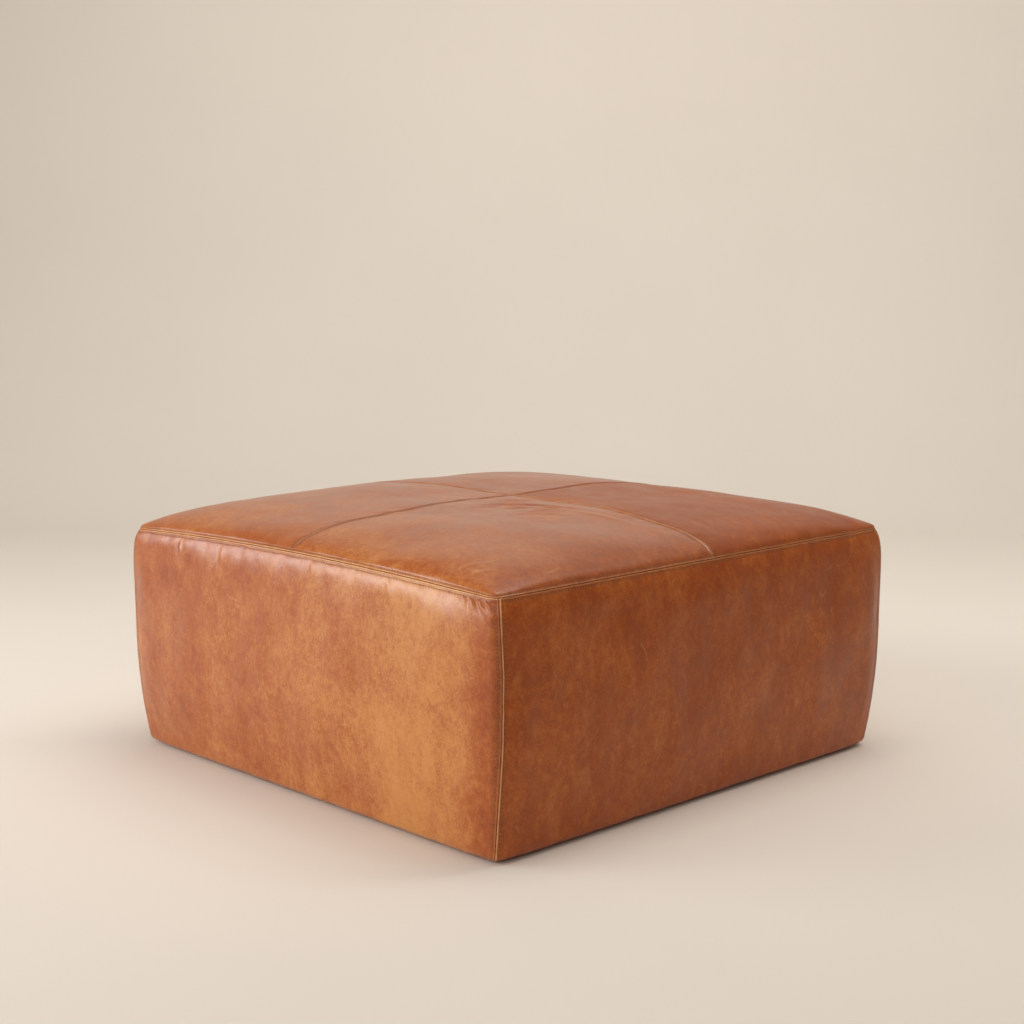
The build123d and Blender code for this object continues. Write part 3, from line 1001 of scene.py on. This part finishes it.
def leather_material(name, coat):
    """Tan pull-up hide: cloudy tone, fine grain, pale scratches, worn ridges with a painted
    highlight, grimy grooves with painted shade, and painted light and shade in the per-point tone.
    coat is how much polish lies on it."""
    n = Nodes(name)
    clouds = n.noise(5.0, 4, 0.6, distortion=0.5)
    upright = n.stretched((1, 1, 0.8))
    mottle = n.noise(16, 6, 0.62, upright, 0.5)
    flecks = n.noise(95, 5, 0.70, upright, 0.4)
    speckle = n.noise(330, 3, 0.7)
    # The per-point tone carries painted light and shade on some hides as well as their own tones.
    pale = n.math("ADD", n.attribute("tone"), n.share(clouds, 0.34, 0.68, -0.16, 0.16))
    pale = n.math("ADD", pale, n.share(mottle, 0.30, 0.70, -0.20, 0.22))
    pale = n.math("ADD", pale, n.share(flecks, 0.30, 0.70, -0.24, 0.26))
    pale = n.math("ADD", pale, n.share(speckle, 0.34, 0.66, -0.20, 0.20))
    tone = n.mix(n.share(pale, 0.0, 1.35), TAN, TAN_LIGHT)
    tone = n.mix(n.share(pale, -0.45, 0.25, 0.75, 0.0), tone, TAN_DARK)
    scuffs = n.noise(20, 3, 0.6, n.stretched((1, 1, 0.7), (20, 35, 10), (2, 7, 4)), 1.5)
    tone = n.mix(n.share(scuffs, 0.50, 0.72, 0, 0.15), tone, TAN_LIGHT)
    stains = n.noise(30, 3, 0.55, n.stretched((1, 1, 0.8), (0, 0, 0), (5, 3, 1)))
    tone = n.mix(n.math("MULTIPLY", n.share(stains, 0.66, 0.78), 0.45), tone, TAN_DARK)

    long_lines = scratch_lines(n, 4.0, 0.0035, 1.3)
    short_lines = scratch_lines(n, 8.0, 0.006, 3.7)
    scratches = n.math("MAXIMUM", long_lines, short_lines)
    tone = n.mix(n.math("MULTIPLY", scratches, 0.20), tone, TAN_RUBBED_AND_HIGHLIT)

    # Worn seam ridges with a painted highlight.
    rub_and_highlight_share = n.math("MULTIPLY", n.attribute("rub"), n.share(n.noise(60, 3, 0.6), 0.3, 0.6, 0.55, 1))
    tone = n.mix(n.math("MULTIPLY", rub_and_highlight_share, 0.75), tone, TAN_RUBBED_AND_HIGHLIT)
    # Grime and painted shade in the seam grooves and needle holes, and painted shade along one
    # cross seam.
    tone = n.mix(n.math("MULTIPLY", n.attribute("dirt"), 0.85), tone, TAN_DIRT_AND_SHADE)

    pores = n.cells(640)
    creases = n.noise(240, 4, 0.65)
    grain = n.math("ADD", n.math("MULTIPLY", pores, 0.6), creases)
    normal = n.bump(grain, 0.00012, 0.5)
    normal = n.bump(scratches, 0.00010, 0.35, normal)
    rough = n.math("ADD", n.share(mottle, 0.3, 0.7, 0.34, 0.46),
                   n.share(speckle, 0.3, 0.7, -0.03, 0.04))
    return n.finish(Base_Color=tone, Roughness=rough, Normal=normal, Specular_IOR_Level=0.40,
                    Specular_Tint=GLOSS_TINT, Coat_Weight=coat, Coat_Roughness=0.32)


def thread_material():
    """Waxed tan thread with its twist."""
    n = Nodes("tan_thread")
    twist = n.add("ShaderNodeTexWave", {"Vector": n.place, "Scale": 900.0, "Distortion": 1.5},
                  bands_direction="DIAGONAL").outputs["Fac"]
    tone = n.mix(twist, (0.30, 0.12, 0.035), (0.46, 0.20, 0.07))
    tone = n.mix(n.share(n.noise(40), 0.35, 0.65, 0, 0.5), tone, (0.22, 0.08, 0.025))
    return n.finish(Base_Color=tone, Roughness=0.6, Normal=n.bump(twist, 0.0001, 0.5))


def wood_material(name, light, dark):
    n = Nodes(name)
    grain = n.noise(30, 5, 0.6, n.stretched((1, 1, 9)), 1.2)
    tone = n.mix(n.share(grain, 0.35, 0.65), light, dark)
    return n.finish(Base_Color=tone, Roughness=n.share(grain, 0.3, 0.7, 0.55, 0.7),
                    Normal=n.bump(grain, 0.0003, 0.4))


def woven_material(name, light, dark, threads):
    """Cloth or webbing woven of threads to the metre."""
    n = Nodes(name)
    weave = []
    for direction in ("X", "Y"):
        wave = n.add("ShaderNodeTexWave", {"Vector": n.place, "Scale": threads / 20,
                                           "Distortion": 0.6, "Detail": 1.0},
                     bands_direction=direction)
        weave.append(wave.outputs["Fac"])
    height = n.math("MULTIPLY", *weave)
    tone = n.mix(height, dark, light)
    tone = n.mix(n.share(n.noise(25), 0.35, 0.65, 0, 0.35), tone, dark)
    return n.finish(Base_Color=tone, Roughness=0.9, Normal=n.bump(height, 0.0004, 0.7))


def fluffy_material(name, light, dark, scale):
    """Wadding or foam: soft fibres or open cells."""
    n = Nodes(name)
    fibres = n.noise(scale, 5, 0.75)
    tone = n.mix(n.share(fibres, 0.35, 0.65), dark, light)
    return n.finish(Base_Color=tone, Roughness=0.95, Normal=n.bump(fibres, 0.001, 0.7))


def plastic_material():
    n = Nodes("moulded_nylon")
    speckle = n.noise(700, 3, 0.6)
    scuffs = n.noise(90, 4, 0.6)
    tone = n.mix(n.share(scuffs, 0.5, 0.7), (0.035, 0.032, 0.030), (0.09, 0.085, 0.08))
    return n.finish(Base_Color=tone, Roughness=n.share(scuffs, 0.3, 0.7, 0.38, 0.6),
                    Normal=n.bump(speckle, 0.00005, 0.5))


def metal_material(name, colour):
    n = Nodes(name)
    brushed = n.noise(200, 4, 0.6, n.stretched((1, 1, 8)))
    tone = n.mix(n.share(brushed, 0.3, 0.7, 0, 0.4), colour, (0.25, 0.24, 0.22))
    return n.finish(Base_Color=tone, Metallic=1.0,
                    Roughness=n.share(brushed, 0.3, 0.7, 0.28, 0.5))


def dress(piece, material):
    piece.data.materials.clear()
    piece.data.materials.append(material)


# ---------------- light, stage and camera

def floor_and_backdrop():
    """A pale floor that curves up into a plain backdrop behind the pouf."""
    reach = 7.0
    back = 2.6
    bend = 1.8
    wall = 5.0
    steps = 16
    profile = [(-reach, 0.0), (back, 0.0)]
    for step in range(1, steps + 1):
        angle = pi / 2 * step / steps
        profile.append((back + bend * sin(angle), bend * (1 - cos(angle))))
    profile.append((back + bend, wall))
    count = len(profile)
    points = [(x, y, z) for x in (-reach, reach) for y, z in profile]
    polygons = [[k, count + k, count + k + 1, k + 1] for k in range(count - 1)]
    stage = mesh_object("stage_floor", np.array(points), polygons)
    stage.rotation_euler.z = radians(46)
    n = Nodes("stage_paper")
    tone = n.mix(n.share(n.noise(0.8), 0.3, 0.7), (0.785, 0.715, 0.635), (0.805, 0.735, 0.655))
    dress(stage, n.finish(Base_Color=tone, Roughness=0.8, Specular_IOR_Level=0.2))


def area_light(name, position, target, size, power, colour=(1.0, 0.97, 0.93)):
    data = bpy.data.lights.new(name, "AREA")
    data.shape = "RECTANGLE"
    data.size, data.size_y = size
    data.energy = power
    data.color = colour
    lamp = bpy.data.objects.new(name, data)
    lamp.location = position
    facing = Vector(target) - Vector(position)
    lamp.rotation_euler = facing.to_track_quat("-Z", "Y").to_euler()
    bpy.context.scene.collection.objects.link(lamp)


def lights():
    """A key from the front, a window-like sheen from the left, a weak fill from the front right,
    a wide soft top light, and a wash on the backdrop."""
    middle = (0, 0, 0.25)
    area_light("key", (-1.0, -3.9, 1.7), middle, (3.4, 2.4), 62)
    area_light("sheen", (-2.5, -2.7, 1.25), middle, (2.2, 0.9), 44, (0.93, 0.96, 1.0))
    area_light("fill", (3.2, -3.4, 2.6), middle, (2.4, 2.0), 36)
    area_light("overhead", (0.5, 0.3, 3.8), middle, (4.2, 4.2), 51)
    area_light("wash", (0.9, 0.9, 3.6), (-1.6, 3.4, 1.3), (3.5, 1.5), 84)
    world = bpy.data.worlds.new("studio")
    world.use_nodes = True
    background = world.node_tree.nodes["Background"]
    background.inputs["Color"].default_value = (0.95, 0.90, 0.82, 1)
    background.inputs["Strength"].default_value = 0.25
    bpy.context.scene.world = world
    bpy.context.scene.view_settings.view_transform = "Standard"


def camera():
    """The photograph's view, fitted to the pouf's corners and edges."""
    data = bpy.data.cameras.new("camera")
    data.lens = 55.62
    data.sensor_width = 36.0
    view = bpy.data.objects.new("camera", data)
    place = Vector((1.9190, -1.8396, 0.7388))
    target = Vector((0.0071, 0.0073, 0.4023))
    view.location = place
    view.rotation_euler = (target - place).to_track_quat("-Z", "Y").to_euler()
    bpy.context.scene.collection.objects.link(view)
    bpy.context.scene.camera = view


# ---------------- the whole scene

def is_polished(panel):
    """The front and most of the top are polished by use."""
    return "front" in panel.name or "back_left" in panel.name


def dress_frame():
    """Materials for the nodes whose CAD shape is shown."""
    looks = {
        "timber": wood_material("beech", (0.52, 0.34, 0.19), (0.36, 0.21, 0.10)),
        "hardboard": wood_material("hardboard", (0.24, 0.14, 0.07), (0.16, 0.09, 0.045)),
        "glide": plastic_material(),
        "staple_wire": metal_material("staple_wire", (0.62, 0.61, 0.58)),
        "screw_steel": metal_material("screw_steel", (0.55, 0.50, 0.38)),
    }
    kinds = (("side_board", "hardboard"), ("glide", "glide"), ("staples", "staple_wire"),
             ("screws", "screw_steel"), ("", "timber"))
    for name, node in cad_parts.items():
        if not node.hide_render:
            dress(node, looks[next(look for part, look in kinds if part in name)])


def main():
    camera()
    lights()
    floor_and_backdrop()
    panels = leather_panels()
    polished = leather_material("tan_leather_polished", 0.62)
    plain = leather_material("tan_leather", 0.15)
    for material, pieces in (
        (polished, [panel for panel in panels if is_polished(panel)]),
        (plain, [panel for panel in panels if not is_polished(panel)]),
        (thread_material(), stitches()),
        (fluffy_material("wadding", (0.86, 0.85, 0.82), (0.66, 0.65, 0.62), 260), wadding()),
        (fluffy_material("foam", (0.80, 0.66, 0.36), (0.60, 0.46, 0.22), 900), foam()),
        (woven_material("webbing", (0.50, 0.38, 0.22), (0.20, 0.14, 0.07), 700), webbing()),
        (woven_material("hessian", (0.55, 0.42, 0.26), (0.26, 0.18, 0.10), 1100),
         [stretched_square("deck_hessian", "hessian", 0.0)]),
        (woven_material("cambric", (0.045, 0.043, 0.042), (0.012, 0.012, 0.012), 2600),
         [stretched_square("base_cloth", "base_cloth", BASE_SAG)]),
    ):
        for piece in pieces:
            dress(piece, material)
    dress_frame()


main()
